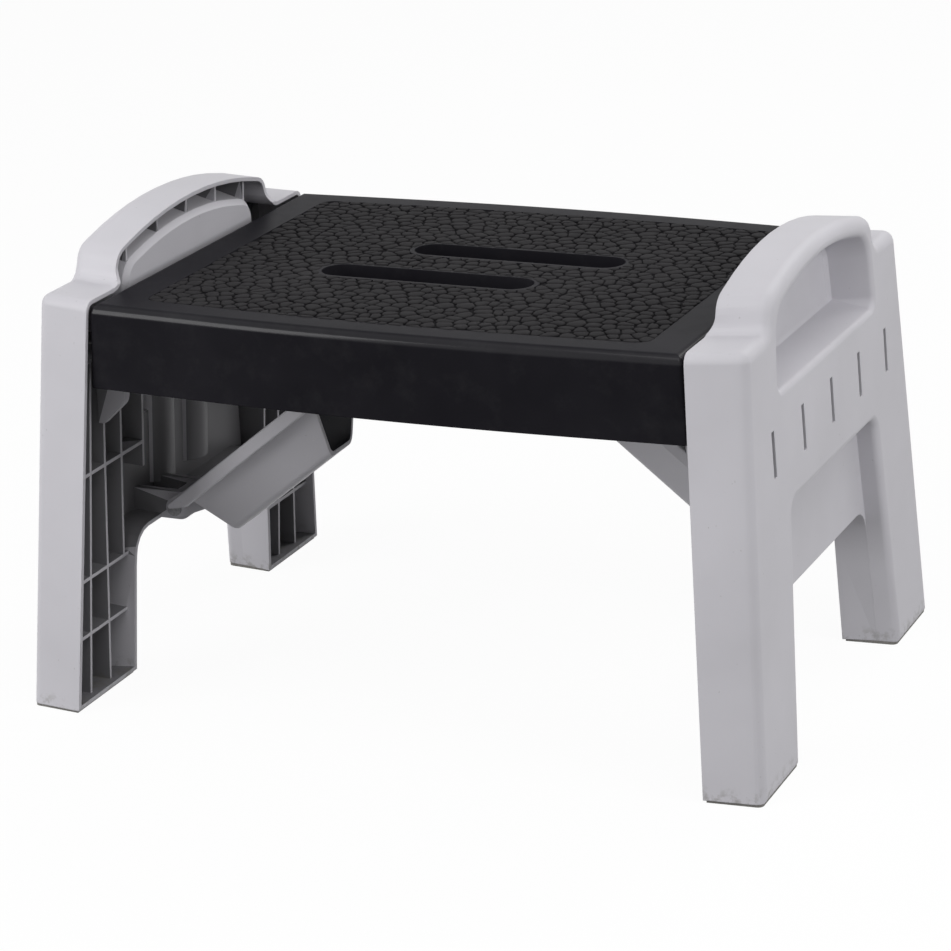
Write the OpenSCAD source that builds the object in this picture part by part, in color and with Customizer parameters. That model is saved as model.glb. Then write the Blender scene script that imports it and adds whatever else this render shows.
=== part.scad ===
// Folding step stool: a moulded deck on two hollow end frames that fold in under it.
// X runs along the deck, Y from front to back, Z up; the origin is on the floor under the deck's centre.
// Each end is the same moulding, so the left end is the right end turned half a turn about Z.

/* [Deck] */
// Half the deck's length at its top edge
deck_half_length = 185.4; // [165:0.1:200]
// Gap between the deck's ends and the frames
end_gap = 0.6; // [0.4:0.1:1]
// Half the deck's depth at its ends
deck_half_depth = 139.5; // [134:0.1:139.8]
// Slope of the front and back edges where they meet the ends, degrees
deck_crown = 3.5; // [2:0.1:4.5]
// Height of the frames' ledges above the floor
ledge_top = 254; // [246:1:262]
// Depth of the deck's top below the ledges
deck_sink = 1.5; // [0.5:0.1:3]
// Height of the skirt
skirt_height = 51; // [49:1:54]
// Thickness of the deck's top plate
deck_plate = 4; // [3:0.5:6]
// Thickness of the skirt
skirt_wall = 3; // [2:0.2:4]
// Rounding of the top edge
deck_edge = 8; // [4:0.5:9]
// Half the length of the tread field
tread_half_length = 158.5; // [150:0.5:166]
// Half the depth of the tread field at its ends
tread_half_depth = 121; // [110:1:124]
// Depth of the tread field below the rim
tread_drop = 0.8; // [0.4:0.1:1.5]

/* [Hand slots] */
// Length of a slot
slot_length = 137; // [110:1:150]
// Width of a slot
slot_width = 25; // [18:1:26]
// Half the distance between the slots' centre lines
slot_offset = 29; // [27:0.5:34]
// Shift of each slot along the deck, to opposite sides
slot_shift = 17.5; // [0:0.5:25]
// Depth of the collar round each slot
collar_depth = 14; // [8:1:18]

/* [End frames] */
// Lean of each frame away from the deck, degrees
frame_lean = 3.34; // [3.1:0.02:3.6]
// Depth of the frame shell
frame_depth = 35; // [33:0.5:36]
// Wall of the frame shell
frame_wall = 2.6; // [2.2:0.1:3]
// Half the width of the frame at the ledge
ledge_half = 140.2; // [138:0.1:144]
// Half the width of the frame at the floor
foot_half = 163.2; // [160:0.1:167]
// Width of a leg at the floor
leg_width = 72; // [66:1:76]
// Height of the opening between the legs
window_top = 90.5; // [86:0.5:91]
// Half the width of the opening between the legs at its top
window_half = 87; // [86.5:0.5:92]
// Half the width of the same opening at the outer face, at the floor
face_foot = 96; // [93:0.5:97]
// Half the width of the recessed panel's frame at its top edge
face_half = 79; // [76:0.5:82]
// Half the width of the handle arch at the ledge
arch_half = 101; // [97:0.5:106]
// Height of the handle's shoulders
shoulder_top = 272; // [268:1:276]
// Slope of the handle's top where it meets the shoulders, degrees
arch_slope = 14.7; // [12:0.1:15]
// Depth of the handle's inner edge behind the ledges' edge
handle_back = 4; // [1:0.5:4]
// Height of the hollow curve at the handle's foot
handle_flare = 10; // [6:1:14]
// Rounding of the outer edges
frame_round = 7; // [4:0.5:7]
// Rounding of the opening's and the recess's edges
opening_round = 5; // [3:0.5:6]
// Narrowing of each leg from the open side to the outer face
frame_draft = 3.2; // [1:0.1:3.6]

/* [Frame details] */
// Width of the handle's rim round the hand pocket
pocket_rim = 12; // [9:0.5:14]
// Height of the hand pocket's floor
pocket_floor = 218; // [216:1:222]
// Depth of the recessed panel below the outer face
recess_depth = 13.5; // [10:0.5:15]
// Height of the recessed panel's top edge
recess_top = 150.5; // [146:0.5:156]
// Distance between the vertical slots in the outer face
vent_pitch = 52; // [48:0.5:52]
// Width of a vertical slot
vent_width = 4.6; // [2.6:0.2:6]
// Height of a vertical slot
vent_height = 27; // [20:1:34]
// Height of the vertical slots' centres
vent_mid = 186.5; // [182:0.5:192]
// Thickness of the ribs inside
rib = 2.2; // [1.6:0.1:2.6]
// Distance of the ribs' edges behind the open side
rib_recess = 5; // [4:0.5:7]

/* [Hinges] */
// Height of the frame hinge above the floor
hinge_z = 208; // [207:0.2:210]
// Distance of the frame hinge from the centre
hinge_x = 183; // [182.4:0.1:183.4]
// Distance of the hinge ears from the centre line
ear_y = 115; // [113:0.5:117]
// Thickness of a hinge ear
ear_t = 6; // [5:0.5:7]
// Diameter of the frame hinge pins
hinge_pin_d = 6; // [5:0.5:7]
// Radial clearance of a pin in a hole that turns on it
pin_gap = 0.06; // [0.02:0.01:0.1]
// Gap between neighbouring moving faces
side_gap = 0.4; // [0.3:0.05:0.5]

/* [Braces] */
// Distance of the brace pivot from the centre
brace_x = 182; // [181:0.5:183]
// Height of the brace pivot above the floor
brace_z = 100; // [99:0.5:102]
// Distance of each brace's middle from the centre line
brace_y = 41.5; // [41:0.1:42.5]
// Length of the brace from its pivot to its end rod
brace_length = 180; // [172:0.5:182]
// Angle of the brace above the floor, degrees
brace_angle = 38.5; // [37.5:0.1:39]
// Outside width across the brace's rims
brace_width = 71; // [69:0.5:72]
// Width of the brace's flat bottom
pan_bottom = 29; // [26:0.5:34]
// Depth of the brace's channel below its rims
pan_depth = 34; // [28:0.5:35]
// Thickness of the brace's walls
pan_wall = 2.2; // [1.8:0.1:2.6]
// Diameter of the brace pivot pins
brace_pin_d = 5; // [4:0.5:6]

/* [Feet] */
// Thickness of a foot pad
pad_t = 1.6; // [1.4:0.1:3]

/* [Hidden] */
$fn = 32;

GREY = [0.75, 0.75, 0.78];
BLACK = [0.13, 0.13, 0.14];
STEEL = [0.6, 0.6, 0.62];
RUBBER = [0.2, 0.2, 0.2];

// Outlines: a corner is [x, y, radius]; the corners run counter-clockwise.
function unit(v) = v / norm(v);
function turned(v, a) = [v[0] * cos(a) - v[1] * sin(a), v[0] * sin(a) + v[1] * cos(a)];
function flat(v) = [v[0], v[1]];
function along(c, i) = unit(flat(c[(i + 1) % len(c)]) - flat(c[i]));

// Inset of one edge: the same all round, plus a draft that acts on edges facing along the first axis.
function edge_inset(c, i, inset, draft) = inset + draft * pow(along(c, i)[1], 2);

// Corner i moved in by the insets of the two edges that meet there.
function moved(c, i, inset, draft) =
    let (n = len(c), j = (i + n - 1) % n,
         d1 = along(c, j), d2 = along(c, i),
         n1 = [d1[1], -d1[0]], n2 = [d2[1], -d2[0]],
         e1 = edge_inset(c, j, inset, draft), e2 = edge_inset(c, i, inset, draft),
         k = n1 * n2)
    flat(c[i]) - ((e1 - k * e2) * n1 + (e2 - k * e1) * n2) / (1 - k * k);

// Arc that rounds corner i of the inset outline, with steps + 1 points.
function corner_arc(c, i, inset, draft, steps) =
    let (n = len(c), p = moved(c, i, inset, draft),
         d1 = along(c, (i + n - 1) % n), d2 = along(c, i),
         bend = atan2(d1[0] * d2[1] - d1[1] * d2[0], d1 * d2),
         side = bend > 0 ? 1 : -1,
         r = max(c[i][2] - side * inset, 0.4),
         start = p - d1 * r * tan(abs(bend) / 2),
         centre = start + side * r * [-d1[1], d1[0]])
    [for (k = [0 : steps]) centre + turned(start - centre, bend * k / steps)];

// Rounded outline: large radii get more steps.
function outline(c, inset = 0, draft = 0) =
    [for (i = [0 : len(c) - 1]) each corner_arc(c, i, inset, draft, c[i][2] > 100 ? 10 : 4)];

// One section as a ring of points; a section is [height, inset, draft].
function ring(c, s) = [for (p = outline(c, s[1], s[2])) [p[0], p[1], s[0]]];

// Solid through sections of one outline.
module loft(c, sections) { skin([for (s = sections) ring(c, s)]); }

module skin(rings) {
    n = len(rings[0]);
    top = len(rings) - 1;
    points = [for (r = rings) each r];
    sides = [for (k = [0 : top - 1], i = [0 : n - 1])
        let (a = k * n + i, b = k * n + (i + 1) % n) each [[a, a + n, b], [b, a + n, b + n]]];
    polyhedron(points, concat(sides, [[for (i = [0 : n - 1]) i]],
        [[for (i = [0 : n - 1]) top * n + n - 1 - i]]), convexity = 8);
}

// Quarter-round edge: sections from height h - r to h, with the inset growing to r.
function round_over(h, r, inset = 0, draft = 0, steps = 5) =
    [for (k = [0 : steps]) [h - r + r * sin(90 * k / steps), inset + r * (1 - cos(90 * k / steps)), draft]];

// Puts the right end's frame plane in place: first axis across, second up, third outward.
module in_frame() {
    translate([deck_half_length + end_gap, 0, ledge_top])
        rotate([0, -frame_lean, 0]) translate([0, 0, -ledge_top])
            rotate([90, 0, 90]) children();
}

module at_left_end() { rotate([0, 0, 180]) children(); }

// Deck outline, from the front right corner, with corners of radius r.
function deck_corners(hx, hy, r = 3) =
    let (apex = hy + hx * tan(deck_crown))
    [[hx, -hy, r], [hx, hy, r], [0, apex, 2000], [-hx, hy, r], [-hx, -hy, r], [0, -apex, 2000]];
deck_top = ledge_top - deck_sink;
deck_bottom = deck_top - skirt_height;
deck_spread = skirt_height * tan(frame_lean);

// Frame outline: foot, ledge, handle arch, ledge, foot. The opening between the legs is cut from it.
foot_cut = -4;
apex_z = shoulder_top + (arch_half - 5) * tan(arch_slope);
apex_r = 323;
frame_corners = [
    [foot_half, foot_cut, 1], [ledge_half, ledge_top, 7], [arch_half, ledge_top, 8],
    [arch_half - 5, shoulder_top, 14], [0, apex_z, apex_r], [-arch_half + 5, shoulder_top, 14],
    [-arch_half, ledge_top, 8], [-ledge_half, ledge_top, 7], [-foot_half, foot_cut, 1],
];
window_corners = [
    [foot_half - leg_width, foot_cut - 3, 1], [window_half, window_top, 15],
    [-window_half, window_top, 15], [leg_width - foot_half, foot_cut - 3, 1],
];
// The recessed panel's sides and the opening's sides are one straight line on the outer face.
panel_at = frame_depth - recess_depth;
face_slope = (face_foot - face_half) / recess_top;
function face_line(z) = face_foot - face_slope * z;
panel_corners = [
    [face_line(foot_cut - 3) - 0.9, foot_cut - 3, 1], [face_line(window_top) - 1, window_top, 15],
    [1 - face_line(window_top), window_top, 15], [0.9 - face_line(foot_cut - 3), foot_cut - 3, 1],
];
face_corners = [
    [face_line(foot_cut - 4), foot_cut - 4, 1], [face_half, recess_top, 9],
    [-face_half, recess_top, 9], [-face_line(foot_cut - 4), foot_cut - 4, 1],
];
pocket_apex_r = 280;
pocket_corners = [
    [arch_half - pocket_rim, pocket_floor, 6], [arch_half - pocket_rim - 5, shoulder_top - pocket_rim + 2, 18],
    [0, apex_z - pocket_rim - 2, pocket_apex_r], [pocket_rim + 5 - arch_half, shoulder_top - pocket_rim + 2, 18],
    [pocket_rim - arch_half, pocket_floor, 6],
];
column_r = 16;
column_low = 104;
column_y = 22;
column_back = 10.5;
floor_top = pad_t + frame_wall;

// Brace sizes that follow from the others
rod_r = 4.3;
rod_x = brace_x - brace_length * cos(brace_angle);
rod_z = brace_z + brace_length * sin(brace_angle);
knuckle_w = 30;
knuckle_r = 9;
arm_t = 4.5;
rim_w = 6;
pan_start = 20;
pan_end = 134;
pan_slant = 24;
pan_lead = 3.5;
rim_start = 7;

// Slab between two values of Y, from an outline in X and Z.
module slab(y0, y1) { translate([0, y1, 0]) rotate([90, 0, 0]) linear_extrude(y1 - y0) children(); }

// Round bar along Y.
module rod(x, z, r, y0, y1) { translate([x, y1, z]) rotate([90, 0, 0]) cylinder(r = r, h = y1 - y0); }

// Everything below a height.
module below(z) { translate([-400, -400, z - 100]) cube([800, 800, 100]); }

module deck_block() {
    loft(deck_corners(deck_half_length, deck_half_depth),
        concat([[deck_bottom, 0, -deck_spread]], round_over(deck_top, deck_edge, 0, 0)));
}

module deck_hollow() {
    under = deck_top - deck_plate;
    loft(deck_corners(deck_half_length, deck_half_depth),
        [[deck_bottom - 1, skirt_wall, -deck_spread], [under - 2, skirt_wall, 0], [under, skirt_wall + 2, 0]]);
}

module stadium(length, width) {
    square([length - width, width], center = true);
    for (s = [-1, 1]) translate([s * (length - width) / 2, 0]) circle(d = width);
}

module at_slots() {
    for (s = [-1, 1]) translate([s * slot_shift, s * slot_offset]) children();
}

// Guide rails beside the two lanes that the brace ends run in.
lane_gap = 1.2;
rail_t = 2.4;
rail_low = hinge_z + 1;
rail_half = 116;
module guide_rails() {
    near = brace_y - brace_width / 2 - lane_gap;
    far = brace_y + brace_width / 2 + lane_gap;
    for (s = [-1, 1], y = [near - rail_t / 2, far + rail_t / 2])
        translate([-rail_half, s * y - rail_t / 2, rail_low])
            cube([2 * rail_half, rail_t, deck_top - deck_plate - rail_low + 1]);
}

// Stiffening ribs across the deck, outside the lanes.
cross_rib_low = 222;
cross_rib_pitch = 62;
module cross_ribs() {
    lane = brace_y + brace_width / 2 + lane_gap + rail_t / 2;
    for (k = [-1 : 1], s = [-1, 1])
        translate([k * cross_rib_pitch - rib / 2, s > 0 ? lane : -deck_half_depth - 2, cross_rib_low])
            cube([rib, deck_half_depth + 2 - lane, deck_top - cross_rib_low - 2]);
    for (s = [-1, 1])
        translate([2 * s * cross_rib_pitch - rib / 2, -deck_half_depth - 2, cross_rib_low])
            cube([rib, 2 * deck_half_depth + 4, deck_top - cross_rib_low - 2]);
}

// Lugs under the deck that the left brace's end rod seats against.
lug_t = 4;
module stop_lugs() {
    seat = rod_r + 0.3;
    for (off = [8, 19.5]) slab(-brace_y - off - lug_t / 2, -brace_y - off + lug_t / 2)
        difference() {
            polygon([
                [-rod_x - seat - 5, deck_top - 2], [-rod_x - seat - 5, rod_z - 6], [-rod_x - seat, rod_z - 6],
                [-rod_x - seat, rod_z], [-rod_x, rod_z + seat], [-rod_x + 6, rod_z + seat],
                [-rod_x + 6, deck_top - 2],
            ]);
            translate([-rod_x, rod_z]) circle(r = seat);
        }
}

// Lugs beside each hinge ear, at the right end.
hinge_lug_t = 5;
module hinge_lugs() {
    inner = ear_y - ear_t / 2 - side_gap - hinge_lug_t;
    outer = ear_y + ear_t / 2 + side_gap;
    face = deck_half_length + (deck_top - hinge_z) * tan(frame_lean) - 0.2;
    reach = hinge_pin_d / 2 + 4;
    for (s = [-1, 1], y = [inner, outer])
        slab(s > 0 ? y : -y - hinge_lug_t, s > 0 ? y + hinge_lug_t : -y)
            intersection() {
                union() {
                    translate([hinge_x, hinge_z]) circle(r = reach);
                    translate([hinge_x - reach, hinge_z]) square([2 * reach, deck_top - hinge_z - 2]);
                }
                translate([hinge_x - reach, deck_bottom]) square([face - hinge_x + reach, skirt_height]);
            }
}

// Slots in the deck's end for the hinge ears, at the right end.
module ear_notches() {
    half = ear_t / 2 + side_gap;
    for (s = [-1, 1])
        translate([hinge_x - 1, s * ear_y - half, deck_bottom - 1]) cube([20, 2 * half, hinge_z + 10 - deck_bottom]);
}

module hinge_bores(r) {
    for (s = [-1, 1]) rod(hinge_x, hinge_z, r, s * ear_y - 15, s * ear_y + 15);
}

module deck() {
    color(BLACK) difference() {
        union() {
            difference() { deck_block(); deck_hollow(); }
            intersection() {
                deck_block();
                union() {
                    guide_rails();
                    cross_ribs();
                    stop_lugs();
                    at_left_end() stop_lugs();
                    hinge_lugs();
                    at_left_end() hinge_lugs();
                    translate([0, 0, deck_top - collar_depth]) linear_extrude(collar_depth - 1)
                        at_slots() stadium(slot_length + 2 * rib, slot_width + 2 * rib);
                }
            }
        }
        translate([0, 0, deck_top - 30]) linear_extrude(40) at_slots() stadium(slot_length, slot_width);
        translate([0, 0, deck_top - tread_drop]) linear_extrude(10)
            difference() {
                polygon(outline(deck_corners(tread_half_length, tread_half_depth, 8)));
                at_slots() stadium(slot_length + 6, slot_width + 6);
            }
        ear_notches();
        at_left_end() ear_notches();
        hinge_bores(hinge_pin_d / 2 + 0.02);
        at_left_end() hinge_bores(hinge_pin_d / 2 + 0.02);
    }
}

// The parts of an end frame below are drawn across, up and outward, and placed by in_frame().
module frame_block() {
    difference() {
        loft(frame_corners, concat([[0, 0, 0]], round_over(frame_depth, frame_round, 0, frame_draft)));
        leg_opening(0);
        handle_face();
    }
}

// Opening between the legs with the recessed panel above it, in one: it steps out at the panel,
// and widens where it meets the outer face. Grown on all sides, it keeps the shell's wall.
module leg_opening(grow) {
    step = panel_at - grow;
    skin(concat(
        [ring(window_corners, [-2, -grow, 0]), ring(panel_corners, [step, -grow, 0])],
        [ring(face_corners, [step, -grow + 0.8, 0])],
        [for (s = round_over(frame_depth, opening_round)) ring(face_corners, [s[0], -s[1] - grow, 0])],
        [ring(face_corners, [frame_depth + 1, -opening_round - grow, 0])]));
}

// Space in front of the handle, whose inner edge stands back behind the ledges' edge.
module handle_face() {
    low = ledge_top + 0.3;
    curve = [for (k = [0 : 6]) let (t = k / 6) [low + handle_flare * t, (handle_back + 0.5) * (1 - pow(1 - t, 2)) - 0.5]];
    rotate([90, 0, 90]) linear_extrude(2 * foot_half, center = true)
        polygon(concat([[low, -5]], curve, [[apex_z, handle_back], [apex_z, -5]]));
}

module frame_hollow() {
    back = frame_depth - frame_wall;
    difference() {
        loft(frame_corners, [[-1, frame_wall, 0], [back - 3, frame_wall, frame_draft * 0.8],
            [back, frame_wall + 3, frame_draft]]);
        leg_opening(frame_wall);
    }
}

pocket_back = handle_back + 1.5;
pocket_round = 4;
module pocket_space() {
    back = pocket_back + frame_wall;
    loft(pocket_corners, concat([[back, 8, 0], [back + 2, 5.5, 0]],
        [for (s = round_over(frame_depth, pocket_round)) [s[0], -s[1], 0]],
        [[frame_depth + 1, -pocket_round, 0]]));
}

module pocket_wall() {
    loft(pocket_corners, [[pocket_back, 8 - frame_wall, 0], [pocket_back + 3, 4.5 - frame_wall, 0],
        [frame_depth - pocket_round, -frame_wall, 0], [frame_depth - 1, -frame_wall - 1, 0]]);
}

module vents() {
    for (k = [-2 : 2])
        translate([k * vent_pitch - vent_width / 2, vent_mid - vent_height / 2, frame_depth - frame_wall - 1])
            cube([vent_width, vent_height, frame_wall + 3]);
}

// Rib that leans from one place at the floor to another at its top.
module upright(y0, y1, z0, z1, t = rib, back = rib_recess) {
    translate([0, 0, back]) linear_extrude(frame_depth - back - 1)
        polygon([[y0 - t / 2, z0], [y0 + t / 2, z0], [y1 + t / 2, z1], [y1 - t / 2, z1]]);
}

module shelf(y0, y1, z) {
    translate([y0, z - rib / 2, rib_recess]) cube([y1 - y0, rib, frame_depth - rib_recess - 1]);
}

module half_ribs() {
    leg_mid = foot_half - leg_width / 3;
    upright(leg_mid, leg_mid - 10, 0, 214);
    upright(ear_y, ear_y, 0, hinge_z + 12);
    upright(window_half + 8, window_half + 8, 78, pocket_floor + 2);
    upright(window_half - 19, window_half - 19, 128, pocket_floor);
    for (z = [42, 78]) shelf(window_half + 2, foot_half - 2, z);
    shelf(window_half - 19, ledge_half + 9, 144);
    shelf(window_half + 2, ledge_half + 3, 214);
    for (y = [0, 38, 76]) upright(y, y, ledge_top + 4, apex_z, 2, handle_back + 5);
}

// Half-round columns that carry the pocket's floor.
module column(r, low) {
    mid = column_back + column_r;
    high = pocket_floor - 1;
    translate([0, low, mid]) rotate([-90, 0, 0]) cylinder(r = r, h = high - low);
    translate([-r, low, mid]) cube([2 * r, high - low, frame_depth - frame_wall - mid + 0.5]);
}

module columns() {
    for (s = [-1, 1]) translate([s * column_y, 0, 0]) difference() {
        column(column_r, column_low);
        column(column_r - frame_wall, column_low + frame_wall);
    }
}

module ear(y) {
    root = deck_half_length + end_gap + (ledge_top - hinge_z) * tan(frame_lean) + rib_recess;
    slab(y - ear_t / 2, y + ear_t / 2) hull() {
        translate([hinge_x, hinge_z]) circle(r = hinge_pin_d / 2 + 4);
        translate([hinge_x + 4, hinge_z - 18]) circle(r = 8.5);
        translate([root, hinge_z - 36]) square([4, 42]);
    }
}

module knuckle() {
    root = deck_half_length + end_gap + (ledge_top - brace_z) * tan(frame_lean);
    rod(brace_x, brace_z, knuckle_r, brace_y - knuckle_w / 2, brace_y + knuckle_w / 2);
    for (y = [brace_y - knuckle_w / 2, brace_y + knuckle_w / 2 - 5])
        slab(y, y + 5) hull() {
            translate([brace_x, brace_z]) circle(r = knuckle_r);
            translate([root + 8, window_top + 0.5]) square([frame_depth - recess_depth - 9, 18]);
        }
}

// The right end frame; the left one is the same, turned half a turn.
module end_frame() {
    color(GREY) difference() {
        union() {
            difference() {
                in_frame() frame_block();
                in_frame() {
                    pocket_space();
                    vents();
                }
                difference() {
                    in_frame() frame_hollow();
                    below(floor_top);
                    in_frame() {
                        pocket_wall();
                        columns();
                        half_ribs();
                        mirror([1, 0, 0]) half_ribs();
                    }
                }
            }
            ear(ear_y);
            ear(-ear_y);
            knuckle();
        }
        below(pad_t);
        hinge_bores(hinge_pin_d / 2 + pin_gap);
        rod(brace_x, brace_z, brace_pin_d / 2 + 0.02, brace_y - knuckle_w, brace_y + knuckle_w);
    }
}

module left_end_frame() { at_left_end() end_frame(); }
module right_end_frame() { end_frame(); }

// Cross-section of a brace's channel, up to a height above the brace's axis.
pan_top_half = brace_width / 2 - rim_w + 1;
function pan_half(z) = pan_bottom / 2 + (pan_top_half - pan_bottom / 2) * (z + pan_depth) / pan_depth;
function pan_section(top) = [
    [pan_bottom / 2, -pan_depth, 7], [pan_half(top), top, 0.5], [-pan_half(top), top, 0.5],
    [-pan_bottom / 2, -pan_depth, 7],
];

// A brace lies along its own first axis from its pivot, with its open side up.
module pan_body(top, inset, end) {
    intersection() {
        rotate([90, 0, 90]) linear_extrude(brace_length) polygon(outline(pan_section(top), inset));
        slab(-brace_width, brace_width)
            polygon([[pan_start + inset, 10], [pan_start + inset, -rod_r], [pan_start + pan_lead + inset, -pan_depth - 1],
                [end - pan_slant, -pan_depth - 1], [end, 0], [end, 10]]);
    }
}

module brace_channel() {
    difference() {
        pan_body(rod_r, 0, pan_end);
        pan_body(rod_r + 5, pan_wall, pan_end + 9);
    }
}

// Rim bar, cut to a point below at the pivot's end.
module brace_rim(y) {
    difference() {
        translate([0, y, 0]) rotate([90, 0, 90]) translate([0, 0, rim_start]) linear_extrude(brace_length - rim_start)
            polygon(outline([[rim_w / 2, -rod_r, 1.5], [rim_w / 2, rod_r, 1.5], [-rim_w / 2, rod_r, 1.5],
                [-rim_w / 2, -rod_r, 1.5]]));
        slab(-brace_width, brace_width)
            polygon([[rim_start - 1, rod_r - 2.5], [rim_start - 1, -rod_r - 1], [pan_start - 1, -rod_r - 1]]);
    }
}

module brace_arm(y0, y1) {
    slab(y0, y1) hull() {
        circle(r = brace_pin_d / 2 + 4);
        translate([pan_start - 2, -12]) square([4, 12 + rod_r]);
    }
}

module brace() {
    edge = brace_width / 2 - rim_w / 2;
    inner = knuckle_w / 2 + side_gap;
    color(GREY) translate([-brace_x, -brace_y, brace_z]) rotate([0, -brace_angle, 0]) difference() {
        union() {
            brace_channel();
            brace_rim(edge);
            brace_rim(-edge);
            brace_arm(inner, inner + arm_t);
            brace_arm(-inner - arm_t, -inner);
            translate([knuckle_r + 2, -edge, rod_r - 3]) cube([pan_start - knuckle_r, 2 * edge, 3]);
            rod(brace_length, 0, rod_r, -brace_width / 2, brace_width / 2);
        }
        rod(0, 0, brace_pin_d / 2 + pin_gap, -brace_width, brace_width);
    }
}

module left_brace() { brace(); }
module right_brace() { at_left_end() brace(); }

module hinge_pin(side) {
    half = ear_t / 2 + side_gap + hinge_lug_t - 0.3;
    color(STEEL) rod(hinge_x, hinge_z, hinge_pin_d / 2, side * ear_y - half, side * ear_y + half);
}

module left_front_hinge_pin() { at_left_end() hinge_pin(1); }
module left_rear_hinge_pin() { at_left_end() hinge_pin(-1); }
module right_front_hinge_pin() { hinge_pin(-1); }
module right_rear_hinge_pin() { hinge_pin(1); }

// Pin with a flat head, through the right frame's knuckle and the brace's arms.
module brace_pin() {
    half = knuckle_w / 2 + side_gap + arm_t + 0.3;
    color(STEEL) {
        rod(brace_x, brace_z, brace_pin_d / 2, brace_y - half, brace_y + half);
        rod(brace_x, brace_z, brace_pin_d / 2 + 2, brace_y + half, brace_y + half + 2);
    }
}

module left_brace_pin() { at_left_end() brace_pin(); }
module right_brace_pin() { brace_pin(); }

module foot_pad(side) {
    x = deck_half_length + end_gap + ledge_top * tan(frame_lean);
    corners = [
        [x, foot_half - leg_width, 1], [x + frame_depth, foot_half - leg_width + frame_draft, 5],
        [x + frame_depth, foot_half - frame_draft, 5], [x, foot_half, 1],
    ];
    color(RUBBER) mirror([0, side > 0 ? 0 : 1, 0]) linear_extrude(pad_t) polygon(outline(corners, 1.5));
}

module left_front_foot_pad() { at_left_end() foot_pad(1); }
module left_rear_foot_pad() { at_left_end() foot_pad(-1); }
module right_front_foot_pad() { foot_pad(-1); }
module right_rear_foot_pad() { foot_pad(1); }

deck();
left_end_frame();
right_end_frame();
left_brace();
right_brace();
left_front_hinge_pin();
left_rear_hinge_pin();
right_front_hinge_pin();
right_rear_hinge_pin();
left_brace_pin();
right_brace_pin();
left_front_foot_pad();
left_rear_foot_pad();
right_front_foot_pad();
right_rear_foot_pad();
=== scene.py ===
"""Folding step stool: the finish of its moulded deck, end frames, braces, pins and foot pads.

Lengths are in metres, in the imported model's frame: +X along the deck, +Y to the back, +Z up. The large pieces
are copies of the solids, with the deck's upper edge drawn in, and the tread gets its pebbles here.
"""
import math
import bmesh
import bpy
import numpy as np
from mathutils import Matrix, Vector
from mathutils.bvhtree import BVHTree


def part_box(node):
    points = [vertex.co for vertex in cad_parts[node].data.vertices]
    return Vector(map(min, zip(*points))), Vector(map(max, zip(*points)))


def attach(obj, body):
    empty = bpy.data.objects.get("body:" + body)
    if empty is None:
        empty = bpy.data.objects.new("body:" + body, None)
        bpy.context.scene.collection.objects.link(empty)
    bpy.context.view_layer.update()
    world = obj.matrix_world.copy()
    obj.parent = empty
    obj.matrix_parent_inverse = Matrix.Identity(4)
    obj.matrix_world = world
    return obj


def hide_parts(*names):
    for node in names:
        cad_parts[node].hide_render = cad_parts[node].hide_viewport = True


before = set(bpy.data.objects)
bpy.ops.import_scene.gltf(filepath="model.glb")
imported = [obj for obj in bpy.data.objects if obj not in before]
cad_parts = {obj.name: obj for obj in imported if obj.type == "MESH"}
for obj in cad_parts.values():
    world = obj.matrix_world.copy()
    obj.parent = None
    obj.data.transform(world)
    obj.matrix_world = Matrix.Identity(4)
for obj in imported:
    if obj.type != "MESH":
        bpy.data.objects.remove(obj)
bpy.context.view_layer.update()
MM = 0.001


# Camera

# Place of the lens, as solved from the corners of the deck, the ledges and the feet
CAMERA_PLACE = (0.7954, -1.7538, 0.7802)
# Turn to the left, tilt down and roll, in radians
CAMERA_YAW = 0.4279
CAMERA_PITCH = 0.3304
CAMERA_ROLL = -0.0426
# Focal length and width of the sensor, both in millimetres as the camera takes them
CAMERA_LENS = 125.7
CAMERA_SENSOR = 36


def place_camera():
    """Camera that looks along (-sin yaw cos pitch, cos yaw cos pitch, -sin pitch), rolled about that line."""
    ahead = Vector((-math.sin(CAMERA_YAW) * math.cos(CAMERA_PITCH),
                    math.cos(CAMERA_YAW) * math.cos(CAMERA_PITCH),
                    -math.sin(CAMERA_PITCH)))
    level = Vector((math.cos(CAMERA_YAW), math.sin(CAMERA_YAW), 0))
    upright = level.cross(ahead)
    right = math.cos(CAMERA_ROLL) * level + math.sin(CAMERA_ROLL) * upright
    up = math.cos(CAMERA_ROLL) * upright - math.sin(CAMERA_ROLL) * level
    data = bpy.data.cameras.new("camera")
    data.sensor_fit = "HORIZONTAL"
    data.sensor_width = CAMERA_SENSOR
    data.lens = CAMERA_LENS
    data.clip_start = 0.05
    data.clip_end = 60
    camera = bpy.data.objects.new("camera", data)
    turn = Matrix((right, up, -ahead)).transposed().to_4x4()
    camera.matrix_world = Matrix.Translation(CAMERA_PLACE) @ turn
    bpy.context.scene.collection.objects.link(camera)
    bpy.context.scene.camera = camera


place_camera()


# Sizes of the stool that the finish follows

# Half the deck's length at its top edge, half its depth at its ends, and the height of its top
DECK_HALF_LENGTH = 185.4 * MM
DECK_HALF_DEPTH = 139.5 * MM
DECK_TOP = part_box("deck")[1][2]
# Slope of the deck's long sides, which rise to an apex, and the radius of the arc that blunts it
CROWN = math.radians(3.5)
APEX_RADIUS = 2000 * MM
# Rounding of the deck's upper edge, as the solid has it and as it shows
SOLID_EDGE = 8 * MM
SHOWN_EDGE = 6 * MM

# Half the tread field's length, half its depth at its ends, its corners' radius, and how far it is sunk
TREAD_HALF_LENGTH = 158.5 * MM
TREAD_HALF_DEPTH = 121 * MM
TREAD_CORNER = 8 * MM
TREAD_DROP = 0.8 * MM
TREAD_FLOOR = DECK_TOP - TREAD_DROP
# Reach of the hyperbola that blunts the apex of the field's long sides, and its lift towards the apex
TREAD_BLUNT = 60 * MM
TREAD_LIFT = 1.2 * MM

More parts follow.
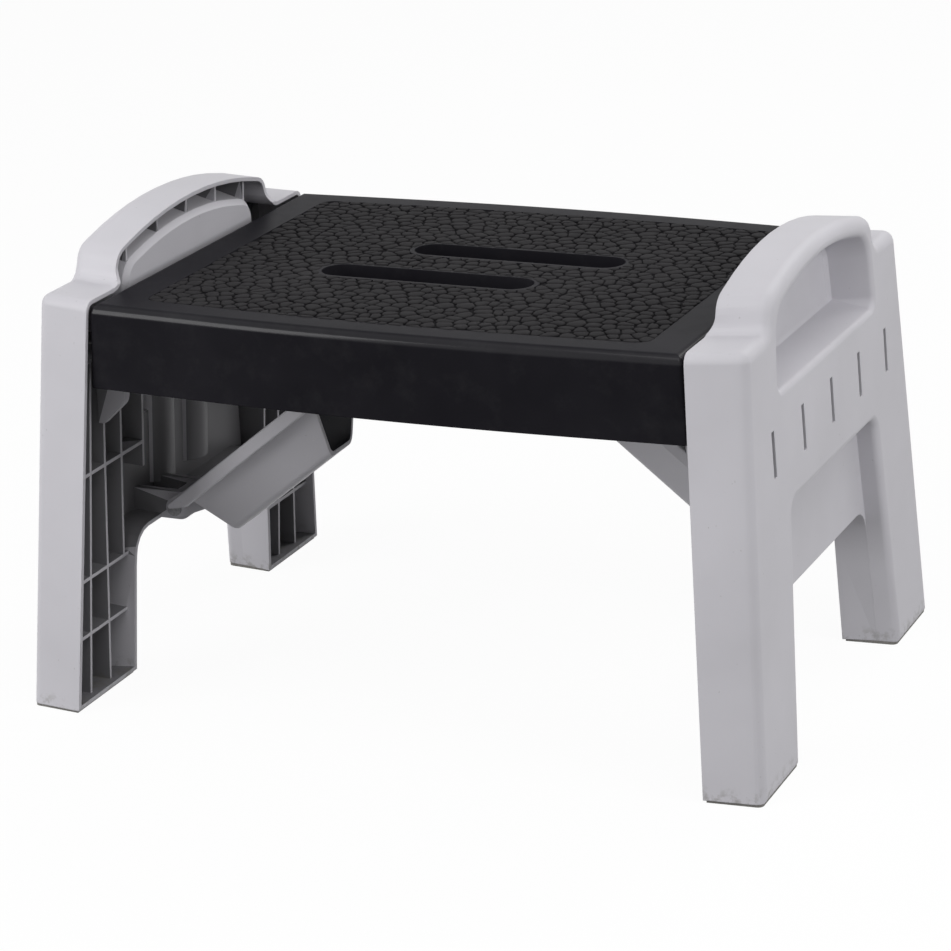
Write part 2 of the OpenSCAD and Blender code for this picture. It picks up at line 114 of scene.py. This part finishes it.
# Centres of the two hand slots, their length and width, and the rim that stays free of pebbles
SLOT_CENTRES = ((17.5 * MM, 29 * MM), (-17.5 * MM, -29 * MM))
SLOT_LENGTH = 137 * MM
SLOT_WIDTH = 25 * MM
SLOT_RIM = 1.3 * MM

# Lean of the end frames, and the inner edge of their ledges: a gap off the deck and a step above its top
FRAME_LEAN = math.radians(3.34)
LEDGE_X = DECK_HALF_LENGTH + 0.6 * MM
LEDGE_Z = DECK_TOP + 1.5 * MM


# Shader maths

class Signal:
    """One shader socket. Sums, differences and products of signals and numbers become Math nodes."""

    def __init__(self, tree, socket):
        self.tree = tree
        self.socket = socket

    def make(self, kind, settings=None, inputs=None, output=0):
        """Adds a node of any type, with its settings first and then its sockets' values or links."""
        node = self.tree.nodes.new(kind)
        for key, value in (settings or {}).items():
            setattr(node, key, value)
        for key, value in (inputs or {}).items():
            if isinstance(value, Signal):
                self.tree.links.new(value.socket, node.inputs[key])
            else:
                node.inputs[key].default_value = value
        return Signal(self.tree, node.outputs[output])

    def maths(self, operation, *terms):
        """Adds a Math node on terms that are signals or numbers."""
        return self.make("ShaderNodeMath", {"operation": operation}, dict(enumerate(terms)))

    def __add__(self, other):
        return self.maths("ADD", self, other)

    def __radd__(self, other):
        return self.maths("ADD", other, self)

    def __sub__(self, other):
        return self.maths("SUBTRACT", self, other)

    def __rsub__(self, other):
        return self.maths("SUBTRACT", other, self)

    def __mul__(self, other):
        return self.maths("MULTIPLY", self, other)

    def __rmul__(self, other):
        return self.maths("MULTIPLY", other, self)

    def clipped(self, low, high, start=0.0, end=1.0):
        """Runs from start to end as the signal goes from low to high, and stays within them."""
        return self.make("ShaderNodeMapRange", {"clamp": True}, {0: self, 1: low, 2: high, 3: start, 4: end})

    def noise(self, scale, detail=2.0, rough=0.5, stretch=(1, 1, 1)):
        """Noise with features about 1/scale metres across, at this vector."""
        spread = self.make("ShaderNodeMapping", {}, {"Vector": self, "Scale": stretch})
        return self.make("ShaderNodeTexNoise", {"noise_dimensions": "3D"},
                         {"Vector": spread, "Scale": scale, "Detail": detail, "Roughness": rough})

    def blend(self, first, second):
        """Colour that goes from first to second with this signal.

        A Mix node takes colours at its sockets 6 and 7, and gives one at its output 2.
        """
        return self.make("ShaderNodeMix", {"data_type": "RGBA"}, {0: self, 6: first, 7: second}, output=2)

    def part(self, axis):
        """One of a vector's parts, X, Y or Z."""
        return self.make("ShaderNodeSeparateXYZ", {}, {0: self}, "XYZ".index(axis))


def new_material(name):
    """An empty node material, and a signal for the surface point."""
    material = bpy.data.materials.new(name)
    material.use_nodes = True
    tree = material.node_tree
    tree.nodes.clear()
    return material, Signal(tree, tree.nodes.new("ShaderNodeTexCoord").outputs["Object"])


def show(shader, owner="Material"):
    """Makes a shader the surface of its material or world."""
    end = shader.tree.nodes.new("ShaderNodeOutput" + owner)
    shader.tree.links.new(shader.socket, end.inputs["Surface"])


def show_plastic(where, colour, rough, height, edge, specular, coat=0.0):
    """Shows a plastic or rubber with this colour, roughness and relief, its edges softened by a radius."""
    soft = where.make("ShaderNodeBevel", {"samples": 6}, {"Radius": edge})
    relief = where.make("ShaderNodeBump", {}, {
        "Strength": 1.0, "Distance": 1.0, "Height": height, "Normal": soft})
    show(where.make("ShaderNodeBsdfPrincipled", {}, {
        "Base Color": colour, "Roughness": rough, "Normal": relief, "Specular IOR Level": specular,
        "Coat Weight": coat, "Coat Roughness": 0.16}))


# Finishes

SCRATCH_PALE = (0.72, 0.71, 0.73, 1)
SPECK_BROWN = (0.22, 0.21, 0.20, 1)
FLOOR_DIRT = (0.16, 0.15, 0.12, 1)
DUST_GREY = (0.12, 0.12, 0.12, 1)
STEEL_DARK = (0.36, 0.36, 0.37, 1)
STEEL_BRIGHT = (0.55, 0.55, 0.56, 1)
RUBBER_DARK = (0.15, 0.145, 0.135, 1)
RUBBER_DUSTY = (0.30, 0.29, 0.275, 1)
# Heights between which a leg gets clean above its dirty foot
FOOT_DIRTY = 1 * MM
FOOT_CLEAN = 12 * MM
# Gap of the deck's polish to both ends of its edge's arc, and the heights over which it comes and goes
POLISH_INSET = 0.3 * MM
POLISH_COMES = 1.2 * MM
POLISH_GOES = 0.8 * MM


def grey_plastic(name, base):
    """Grey polypropylene with a spark-eroded grain, flow clouds, upright scratches, specks and dirty feet."""
    material, where = new_material(name)
    cloud = where.noise(scale=9, detail=3, rough=0.55)
    grain = where.noise(scale=1500, detail=2, rough=0.6)
    hairs = where.noise(scale=260, detail=3, rough=0.7, stretch=(1, 1, 0.05)).clipped(0.66, 0.74)
    scratch = hairs * where.noise(scale=18, detail=2).clipped(0.5, 0.62)
    low_down = where.part("Z").clipped(FOOT_CLEAN, FOOT_DIRTY)
    dirt = low_down * where.noise(scale=140, detail=4, rough=0.65).clipped(0.5, 0.62)
    speck = where.noise(scale=420, detail=2).clipped(0.735, 0.78)
    dim = tuple(0.93 * part for part in base)
    bright = tuple(min(1, 1.04 * part) for part in base)
    colour = cloud.clipped(0.3, 0.7).blend((*dim, 1), (*bright, 1))
    colour = (0.25 * scratch).blend(colour, SCRATCH_PALE)
    colour = (0.35 * speck).blend(colour, SPECK_BROWN)
    colour = (0.55 * dirt).blend(colour, FLOOR_DIRT)
    rough = 0.44 + 0.1 * cloud + 0.12 * scratch
    height = (grain - 0.5) * (0.03 * MM) + (cloud - 0.5) * (0.3 * MM) - (0.02 * MM) * scratch
    show_plastic(where, colour, rough, height, edge=0.7 * MM, specular=0.28)
    return material


def edge_polish(where):
    """One on the arc of the deck's upper edge, which hands and soles have rubbed smooth, and zero off it."""
    foot = DECK_TOP - SHOWN_EDGE + POLISH_INSET
    brow = DECK_TOP - POLISH_INSET
    height = where.part("Z")
    return height.clipped(foot, foot + POLISH_COMES) * height.clipped(brow, brow - POLISH_GOES)


def black_plastic(name, base, grip, specular=0.022, gloss=0.0):
    """Black plastic with a fine grain and dust.

    Grip, from 0 to 1, makes it drier and dustier, as the tread is. Gloss is the coat on the polished edge.
    """
    material, where = new_material(name)
    cloud = where.noise(scale=11, detail=3, rough=0.6)
    grain = where.noise(scale=1300, detail=2, rough=0.6)
    dust = where.noise(scale=60, detail=5, rough=0.7).clipped(0.5, 0.75)
    pale = tuple(part * 1.35 + 0.003 for part in base)
    colour = cloud.clipped(0.3, 0.7).blend((*base, 1), (*pale, 1))
    colour = ((0.05 + 0.08 * grip) * dust).blend(colour, DUST_GREY)
    rough = (0.36 + 0.2 * grip) + 0.08 * cloud + 0.08 * dust
    height = (grain - 0.5) * (0.05 * MM) + (cloud - 0.5) * (0.2 * MM)
    coat = gloss * edge_polish(where) if gloss else 0.0
    show_plastic(where, colour, rough, height, edge=0.8 * MM, specular=specular, coat=coat)
    return material


def pin_metal(name):
    """Drawn steel: fine rings round the pin's length, which runs along Y."""
    material, where = new_material(name)
    rings = where.noise(scale=900, detail=2, stretch=(1, 4, 1))
    colour = rings.clipped(0.3, 0.7).blend(STEEL_DARK, STEEL_BRIGHT)
    relief = where.make("ShaderNodeBump", {}, {"Distance": 1.0, "Height": rings * (0.03 * MM)})
    show(where.make("ShaderNodeBsdfPrincipled", {}, {
        "Base Color": colour, "Metallic": 1.0, "Roughness": 0.28 + 0.15 * rings, "Normal": relief}))
    return material


def pad_rubber(name):
    """Dark rubber with dust in its pores."""
    material, where = new_material(name)
    pores = where.noise(scale=700, detail=4, rough=0.7)
    colour = pores.clipped(0.35, 0.75).blend(RUBBER_DARK, RUBBER_DUSTY)
    show_plastic(where, colour, 0.75 + 0.15 * pores, pores * (0.1 * MM), edge=0.4 * MM, specular=0.3)
    return material


FRAME_GREY = grey_plastic("frame_grey", (0.56, 0.55, 0.585))
# Darker grey of the frames' insides: painted shade for the hollows under the deck
FRAME_PAINTED_SHADE = grey_plastic("frame_painted_shade", (0.205, 0.202, 0.214))
BRACE_GREY = grey_plastic("brace_grey", (0.6, 0.59, 0.628))
# Near-black grey of the braces' channels: painted shade for their shaded insides
BRACE_PAINTED_SHADE = grey_plastic("brace_painted_shade", (0.05, 0.05, 0.056))
DECK_BLACK = black_plastic("deck_black", (0.0088, 0.0083, 0.0107), grip=0.0, gloss=0.32)
TREAD_BLACK = black_plastic("tread_black", (0.017, 0.0162, 0.0175), grip=1.0)
# Darker, low-sheen black of the grooves between pebbles: painted shade
GROOVE_PAINTED_SHADE = black_plastic("groove_painted_shade", (0.0085, 0.0081, 0.0092), grip=1.0, specular=0.007)
PIN_STEEL = pin_metal("pin_steel")
PAD_RUBBER = pad_rubber("pad_rubber")


# Moulded pieces

# Loose points are joined within this distance, and edges shorter than the second are dissolved
WELD = 0.002 * MM
SLIVER = 0.0001 * MM
# Faces that meet at less than this angle are shaded as one
SMOOTH_ANGLE = math.radians(34)
# A ray starts this far off the face it leaves
RAY_START = 0.1 * MM


def smooth_copy(node, name, body, material):
    """Copy of a CAD node with its loose triangles joined and its rounded faces shaded smooth."""
    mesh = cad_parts[node].data.copy()
    mesh.name = name
    shell = bmesh.new()
    shell.from_mesh(mesh)
    bmesh.ops.remove_doubles(shell, verts=shell.verts, dist=WELD)
    bmesh.ops.dissolve_degenerate(shell, edges=shell.edges, dist=SLIVER)
    for face in shell.faces:
        face.smooth = True
    for edge in shell.edges:
        edge.smooth = len(edge.link_faces) == 2 and edge.calc_face_angle(0) < SMOOTH_ANGLE
    shell.to_mesh(mesh)
    shell.free()
    if "custom_normal" in mesh.attributes:
        mesh.attributes.remove(mesh.attributes["custom_normal"])
    mesh.materials.clear()
    mesh.materials.append(material)
    piece = bpy.data.objects.new(name, mesh)
    bpy.context.scene.collection.objects.link(piece)
    weigh = piece.modifiers.new("even_normals", "WEIGHTED_NORMAL")
    weigh.keep_sharp = True
    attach(piece, body)
    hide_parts(node)
    return piece


def rows_of(vectors, key):
    """Reads a mesh's vectors into an array with three numbers to a row."""
    values = np.empty(3 * len(vectors))
    vectors.foreach_get(key, values)
    return values.reshape(-1, 3)


def outline_room(x, y):
    """How far a point lies inside the deck's ends, and how far inside its long sides.

    The ends are straight. So are both halves of a long side, which rise with the crown's slope to an apex, and
    an arc that touches both halves blunts it.
    """
    apex = DECK_HALF_DEPTH + DECK_HALF_LENGTH * math.tan(CROWN)
    straight = apex - x * math.tan(CROWN)
    blunt = apex - APEX_RADIUS / math.cos(CROWN) + np.sqrt(APEX_RADIUS ** 2 - x ** 2)
    side = np.where(x < APEX_RADIUS * math.sin(CROWN), blunt, straight)
    return DECK_HALF_LENGTH - x, side - y


def tighten_edge(piece, radius, slack=0.4 * MM, deepest=1.0 * MM, hair=0.01 * MM, least_cosine=-0.02):
    """Draws the deck's rounded upper edge in to a smaller radius.

    A point of the old arc at the angle a above level moves out by (1 - cos a) and up by (1 - sin a) of the
    difference of the radii, which is where the new arc has it. Only points move that look outwards and up, by
    the least cosine, and that lie up to the slack outside the arc or the deepest distance inside it.
    """
    mesh = piece.data
    at = rows_of(mesh.vertices, "co")
    looks_out = (rows_of(mesh.vertex_normals, "vector") * np.sign(at) > least_cosine).all(axis=1)
    end_room, side_room = outline_room(np.abs(at[:, 0]), np.abs(at[:, 1]))
    depth = DECK_TOP - at[:, 2]
    sine = np.clip(1 - depth / SOLID_EDGE, 0, 1)
    cosine = np.sqrt(1 - sine ** 2)
    inset = SOLID_EDGE * (1 - cosine)
    nearest = np.minimum(end_room, side_room)
    in_height = (depth > -hair) & (depth < SOLID_EDGE + hair)
    on_arc = looks_out & in_height & (nearest > inset - slack) & (nearest < inset + deepest)
    at_end = on_arc & (np.abs(end_room - inset) < slack)
    at_side = on_arc & (np.abs(side_room - inset) < slack)
    gain = SOLID_EDGE - radius
    at[:, 0] += np.sign(at[:, 0]) * at_end * gain * (1 - cosine)
    at[:, 1] += np.sign(at[:, 1]) * at_side * gain * (1 - cosine)
    at[:, 2] += on_arc * gain * (1 - sine)
    mesh.vertices.foreach_set("co", at.ravel())
    mesh.update()


def mark_tread_floor(piece, material, hair=0.05 * MM, looks_up=0.9):
    """Gives the sunk field between the pebbles a darker, low-sheen black: painted shade in the grooves."""
    piece.data.materials.append(material)
    for face in piece.data.polygons:
        if face.normal.z > looks_up and abs(face.center.z - TREAD_FLOOR) < hair:
            face.material_index = 1


def ray_tree(mesh):
    """Search tree that rays are cast at."""
    points = [point.co for point in mesh.vertices]
    return BVHTree.FromPolygons(points, [face.vertices for face in mesh.polygons])


# Cosines with the way out of a frame: a face over the first looks out, and one under the second looks back.
# A wall whose ray meets a face under the third stands on the back of that face.
LOOKS_OUT = 0.5
LOOKS_BACK = -0.7
MEETS_BACK = -0.6


def paint_inside_shade(piece, side, material, rim=0.5 * MM, edge=9 * MM, reach=70 * MM):
    """Gives a frame's inner faces a darker grey, painted shade for the dim hollows inside the frame.

    These are the faces that look back at the frame's open side, apart from those less than edge deep, and the
    walls that stand on the back of the outer wall or of a recess. A wall less than rim deep keeps the light
    grey. Depth runs from the open side along the way out, which leans with the frame.
    """
    mesh = piece.data
    mesh.materials.append(material)
    outward = Vector((side * math.cos(FRAME_LEAN), 0, math.sin(FRAME_LEAN)))
    origin = Vector((side * LEDGE_X, 0, LEDGE_Z))
    tree = ray_tree(mesh)
    for face in mesh.polygons:
        depth = (face.center - origin).dot(outward)
        facing = face.normal.dot(outward)
        if facing < LOOKS_BACK:
            if depth >= edge:
                face.material_index = 1
        elif depth >= rim and facing <= LOOKS_OUT:
            hit, normal, _, _ = tree.ray_cast(face.center + face.normal * RAY_START, outward, reach)
            if hit is not None and normal.dot(outward) < MEETS_BACK:
                face.material_index = 1


def paint_channel_shade(piece, material, reach=90 * MM, slant=1.7):
    """Gives the faces inside a brace's channel a near-black grey, painted shade for the channel's dark inside.

    These are the ones that look at a face across the channel, straight or, from its floor, slanting both ways.
    """
    mesh = piece.data
    mesh.materials.append(material)
    tree = ray_tree(mesh)
    for face in mesh.polygons:
        start = face.center + face.normal * RAY_START
        ways = [face.normal] + [(face.normal + Vector((0, y, 0))).normalized() for y in (-slant, slant)]
        straight, left, right = (tree.ray_cast(start, way, reach)[0] is not None for way in ways)
        if straight or (left and right):
            face.material_index = 1


# Pebbles of the tread

# Seed of the random draws that shape the pebbles
PEBBLE_SEED = 11
# Distance between the pebbles' centres, and as shares of it that between rows and the most a centre strays
PEBBLE_PITCH = 9.7 * MM
ROW_SHARE = 0.80
STRAY = 0.4
# Half the length and half the depth of the lattice of centres, from which the field takes those inside it
LATTICE_HALF_LENGTH = 170 * MM
LATTICE_HALF_DEPTH = 130 * MM
# Least room that a centre needs inside the field, and the number of neighbours that shape a pebble
CENTRE_ROOM = 0.4 * MM
NEIGHBOURS = 14
# Width of a groove, gap that stays free at the field's border, and power of the outline's soft minimum
GROOVE = 0.8 * MM
BORDER_GAP = 0.15 * MM
SHARPNESS = 9.0
# Least and most that a pebble reaches from its centre
LEAST_REACH = 0.25 * MM
MOST_REACH = 0.75 * PEBBLE_PITCH
# Height of the highest pebbles above the field, the lowest ones' share of it, and the most slope of a top
PEBBLE_HEIGHT = 1.15 * MM
LEAST_RISE = 0.82
PEBBLE_SLOPE = 0.018
# Corners of a pebble, and its rings from the foot up: distance in from the outline, and share of the height
SPOKES = 14
RINGS = ((0.0, -0.1), (0.0, 0.4), (0.3 * MM, 0.86), (1.1 * MM, 1.0))
BANDS = len(RINGS) - 1
# A ring keeps at least this share of the outline's reach
LEAST_RING = 0.3


def slot_distance(x, y, centre):
    """Distance outside a hand slot with round ends: that to its middle line, less half its width."""
    run = (SLOT_LENGTH - SLOT_WIDTH) / 2
    along = x - centre[0]
    nearest = np.clip(along, -run, run)
    return np.hypot(along - nearest, y - centre[1]) - SLOT_WIDTH / 2


def tread_room(x, y):
    """Distance inside the tread field and outside both slots' rims, negative where no pebble may be.

    The field's long sides rise by (half length - |x|) tan crown, and a hyperbola with the same slope far out
    cuts their apex off. Its corners are quarter circles.
    """
    slope = math.tan(CROWN)
    straight = (TREAD_HALF_LENGTH - np.abs(x)) * slope
    blunt = TREAD_HALF_LENGTH * slope - np.hypot(x, TREAD_BLUNT) * slope + TREAD_LIFT
    end_room = TREAD_HALF_LENGTH - np.abs(x)
    side_room = TREAD_HALF_DEPTH + np.minimum(straight, blunt) - np.abs(y)
    past_x = np.maximum(TREAD_CORNER - end_room, 0)
    past_y = np.maximum(TREAD_CORNER - side_room, 0)
    corner = TREAD_CORNER - np.hypot(past_x, past_y)
    inside = np.where((past_x > 0) & (past_y > 0), corner, np.minimum(end_room, side_room))
    for centre in SLOT_CENTRES:
        inside = np.minimum(inside, slot_distance(x, y, centre) - SLOT_RIM)
    return inside


def border_shift(centres, least=0.9 * MM, caught=2.5 * MM, step=0.05 * MM):
    """Shift that takes centres close to a border inwards, up the slope of tread_room, to the least room.

    Those up to the caught distance outside the border move too, and the rest stay where they are.
    """
    x, y = centres[:, 0], centres[:, 1]
    here = tread_room(x, y)
    rise_x = tread_room(x + step, y) - tread_room(x - step, y)
    rise_y = tread_room(x, y + step) - tread_room(x, y - step)
    slope = np.stack([rise_x, rise_y], -1) / (2 * step)
    return slope * np.where((here > -caught) & (here < least), least - here, 0)[:, None]


def pebble_centres(rng):
    """Centres on a lattice with every second row half a pitch along, strayed and then kept off borders."""
    rows = int(2 * LATTICE_HALF_DEPTH / (PEBBLE_PITCH * ROW_SHARE)) + 2
    columns = int(2 * LATTICE_HALF_LENGTH / PEBBLE_PITCH) + 2
    row, column = np.mgrid[0:rows, 0:columns]
    x = (column + 0.5 * (row % 2) - columns / 2) * PEBBLE_PITCH
    y = (row - rows / 2) * PEBBLE_PITCH * ROW_SHARE
    centres = np.stack([x, y], -1).reshape(-1, 2)
    centres = centres + rng.uniform(-STRAY, STRAY, centres.shape) * PEBBLE_PITCH * np.array([1.0, ROW_SHARE])
    return centres + border_shift(centres)


def halfway_reach(offset, ray, least=1e-5, far=1.0):
    """How far a pebble reaches along each ray before the halfway lines to its neighbours.

    Along a ray, the halfway line to a neighbour at the offset d lies at |d|^2 / (2 d . ray), and far away
    where the ray turns from it. The reach is their soft minimum, (sum of r^-k)^(-1/k), less half a groove.
    """
    along = np.einsum("pnk,sk->psn", offset, ray)
    half = (offset ** 2).sum(-1)[:, None, :] / 2
    halfway = np.where(along > least, half / np.maximum(along, least), far)
    return (halfway ** -SHARPNESS).sum(-1) ** (-1 / SHARPNESS) - GROOVE / 2


def border_reach(hub, ray, strides=9, share=0.9):
    """How far each ray runs before the field's border, in strides that are a share of the room left."""
    walked = np.zeros((len(hub), len(ray)))
    for _ in range(strides):
        at = hub[:, None, :] + walked[..., None] * ray
        walked = walked + np.clip(tread_room(at[..., 0], at[..., 1]) - BORDER_GAP, 0, None) * share
    return walked


def pebble_points(hub, reach, ray, rise, tops):
    """Points of each pebble: its rings from the foot up, tilted by its top's slopes, and a middle point."""
    rings = []
    for inset, level in RINGS:
        spread = np.maximum(reach - inset, reach * LEAST_RING)[..., None] * ray
        tilt = np.einsum("psk,pk->ps", spread, tops)
        z = TREAD_FLOOR + rise[:, None] * level + tilt * max(level, 0)
        rings.append(np.concatenate([hub[:, None, :] + spread, z[..., None]], -1))
    middle = np.concatenate([hub, (TREAD_FLOOR + rise)[:, None]], -1)[:, None, :]
    return np.concatenate(rings + [middle], 1)


def pebble_faces(pebbles):
    """Bands of quads from ring to ring, and triangles from each last ring to its middle point."""
    here = np.arange(SPOKES)
    after = (here + 1) % SPOKES
    below = np.arange(BANDS)[:, None] * SPOKES
    above = below + SPOKES
    quads = np.stack([below + here, below + after, above + after, above + here], -1).reshape(-1, 4)
    middle = len(RINGS) * SPOKES
    caps = np.stack([BANDS * SPOKES + here, BANDS * SPOKES + after, np.full(SPOKES, middle)], -1)
    first = (np.arange(pebbles) * (middle + 1))[:, None, None]
    return (first + quads).reshape(-1, 4), (first + caps).reshape(-1, 3)


def pebble_tread():
    """Raised pebbles on the tread, as one mesh. The lowest band of their walls gets the grooves' painted shade.

    A pebble's outline is where its rays stop, at halfway lines to its neighbours or at the field's border.
    """
    rng = np.random.default_rng(PEBBLE_SEED)
    angle = np.linspace(0, 2 * np.pi, SPOKES, endpoint=False)
    ray = np.stack([np.cos(angle), np.sin(angle)], -1)
    centres = pebble_centres(rng)
    gaps = ((centres[:, None, :] - centres[None, :, :]) ** 2).sum(-1)
    near = np.argsort(gaps, axis=1)[:, 1:NEIGHBOURS + 1]
    kept = tread_room(centres[:, 0], centres[:, 1]) > CENTRE_ROOM
    hub = centres[kept]
    offset = (centres[near] - centres[:, None, :])[kept]
    reach = np.clip(np.minimum(halfway_reach(offset, ray), border_reach(hub, ray)), LEAST_REACH, MOST_REACH)
    rise = PEBBLE_HEIGHT * rng.uniform(LEAST_RISE, 1.0, len(hub))
    tops = rng.uniform(-1, 1, (len(hub), 2)) * PEBBLE_SLOPE
    points = pebble_points(hub, reach, ray, rise, tops)
    quads, caps = pebble_faces(len(hub))
    mesh = bpy.data.meshes.new("tread_pebbles")
    mesh.from_pydata(points.reshape(-1, 3).tolist(), [], quads.tolist() + caps.tolist())
    mesh.polygons.foreach_set("use_smooth", np.ones(len(mesh.polygons), bool))
    mesh.materials.append(TREAD_BLACK)
    mesh.materials.append(GROOVE_PAINTED_SHADE)
    # The lowest band of each pebble's wall gets the painted shade of the grooves
    painted_groove_shade = np.zeros(len(mesh.polygons), np.int32)
    painted_groove_shade[:len(quads)] = np.arange(len(quads)) % (BANDS * SPOKES) < SPOKES
    mesh.polygons.foreach_set("material_index", painted_groove_shade)
    piece = bpy.data.objects.new("tread_pebbles", mesh)
    bpy.context.scene.collection.objects.link(piece)
    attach(piece, "deck")


# The stool

deck_shell = smooth_copy("deck", "deck_shell", "deck", DECK_BLACK)
tighten_edge(deck_shell, SHOWN_EDGE)
mark_tread_floor(deck_shell, GROOVE_PAINTED_SHADE)
for side, end in ((-1, "left"), (1, "right")):
    end_shell = smooth_copy(end + "_end_frame", end + "_end_shell", end + "_frame", FRAME_GREY)
    # The frames' insides and the braces' channels get painted shade
    paint_inside_shade(end_shell, side, FRAME_PAINTED_SHADE)
    brace_shell = smooth_copy(end + "_brace", end + "_brace_shell", end + "_brace", BRACE_GREY)
    paint_channel_shade(brace_shell, BRACE_PAINTED_SHADE)
pebble_tread()

for node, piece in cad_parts.items():
    for ending, material in (("_pin", PIN_STEEL), ("_pad", PAD_RUBBER)):
        if node.endswith(ending):
            piece.data.materials.clear()
            piece.data.materials.append(material)


# Floor and light

# Half the floor's side, and its greys: as scattered light finds it, and as the camera sees it under the white
FLOOR_HALF = 9
FLOOR_LIT = (0.32, 0.32, 0.32, 1)
FLOOR_PALE = (0.9, 0.9, 0.9, 1)
WHITE = (1, 1, 1, 1)
# Share of plain white in what the camera sees of the floor; the rest keeps the stool's shadow
FLOOR_WHITENESS = 0.955
# Strength of the world's even light on the stool
WORLD_LIGHT = 0.25
# Square lamps that face a point in the stool: place, length of a side, and power in watts
LAMP_AIM = (0, 0, 0.15)
LAMPS = {
    "key": ((-1.55, -1.6, 0.95), 1.4, 34),
    "top": ((0.35, -0.8, 1.9), 1.4, 12),
    "side": ((2.1, -0.35, 1.0), 1.0, 19),
    "back": ((0.6, 1.8, 1.9), 1.2, 16),
}


def seen_plainly(tree):
    """One for what the camera sees, straight, reflected or through a clear thing; zero for scattered light."""
    rays = tree.nodes.new("ShaderNodeLightPath").outputs
    seen = Signal(tree, rays["Is Camera Ray"])
    for other in ("Is Glossy Ray", "Is Transmission Ray"):
        seen = seen.maths("MAXIMUM", seen, Signal(tree, rays[other]))
    return seen


def studio_floor():
    """Wide pale floor, drawn white for the camera and keeping a soft part of the stool's shadow."""
    corners = [(x * FLOOR_HALF, y * FLOOR_HALF, 0) for x, y in ((-1, -1), (1, -1), (1, 1), (-1, 1))]
    mesh = bpy.data.meshes.new("floor")
    mesh.from_pydata(corners, [], [(0, 1, 2, 3)])
    material, where = new_material("floor_white")
    lit = where.make("ShaderNodeBsdfDiffuse", {}, {"Color": FLOOR_LIT})
    pale = where.make("ShaderNodeBsdfDiffuse", {}, {"Color": FLOOR_PALE})
    white = where.make("ShaderNodeEmission", {}, {"Color": WHITE, "Strength": 1.0})
    shown = where.make("ShaderNodeMixShader", {}, {0: FLOOR_WHITENESS, 1: pale, 2: white})
    show(where.make("ShaderNodeMixShader", {}, {0: seen_plainly(where.tree), 1: lit, 2: shown}))
    mesh.materials.append(material)
    floor = bpy.data.objects.new("floor", mesh)
    bpy.context.scene.collection.objects.link(floor)


def studio_world():
    """Even light on the stool, with plain white behind everything that the camera sees."""
    world = bpy.data.worlds.new("studio")
    bpy.context.scene.world = world
    world.use_nodes = True
    world.node_tree.nodes.clear()
    seen = seen_plainly(world.node_tree)
    strength = seen.clipped(0, 1, WORLD_LIGHT, 1.0)
    show(seen.make("ShaderNodeBackground", {}, {"Color": WHITE, "Strength": strength}), "World")


def softbox(name, place, size, power):
    """Square area lamp that faces the stool."""
    data = bpy.data.lights.new(name, "AREA")
    data.shape = "SQUARE"
    data.size = size
    data.energy = power
    lamp = bpy.data.objects.new(name, data)
    way = Vector(LAMP_AIM) - Vector(place)
    lamp.matrix_world = Matrix.Translation(place) @ way.to_track_quat("-Z", "Y").to_matrix().to_4x4()
    bpy.context.scene.collection.objects.link(lamp)


studio_floor()
studio_world()
for name, (place, size, power) in LAMPS.items():
    softbox(name, place, size, power)
bpy.context.scene.view_settings.view_transform = "Standard"
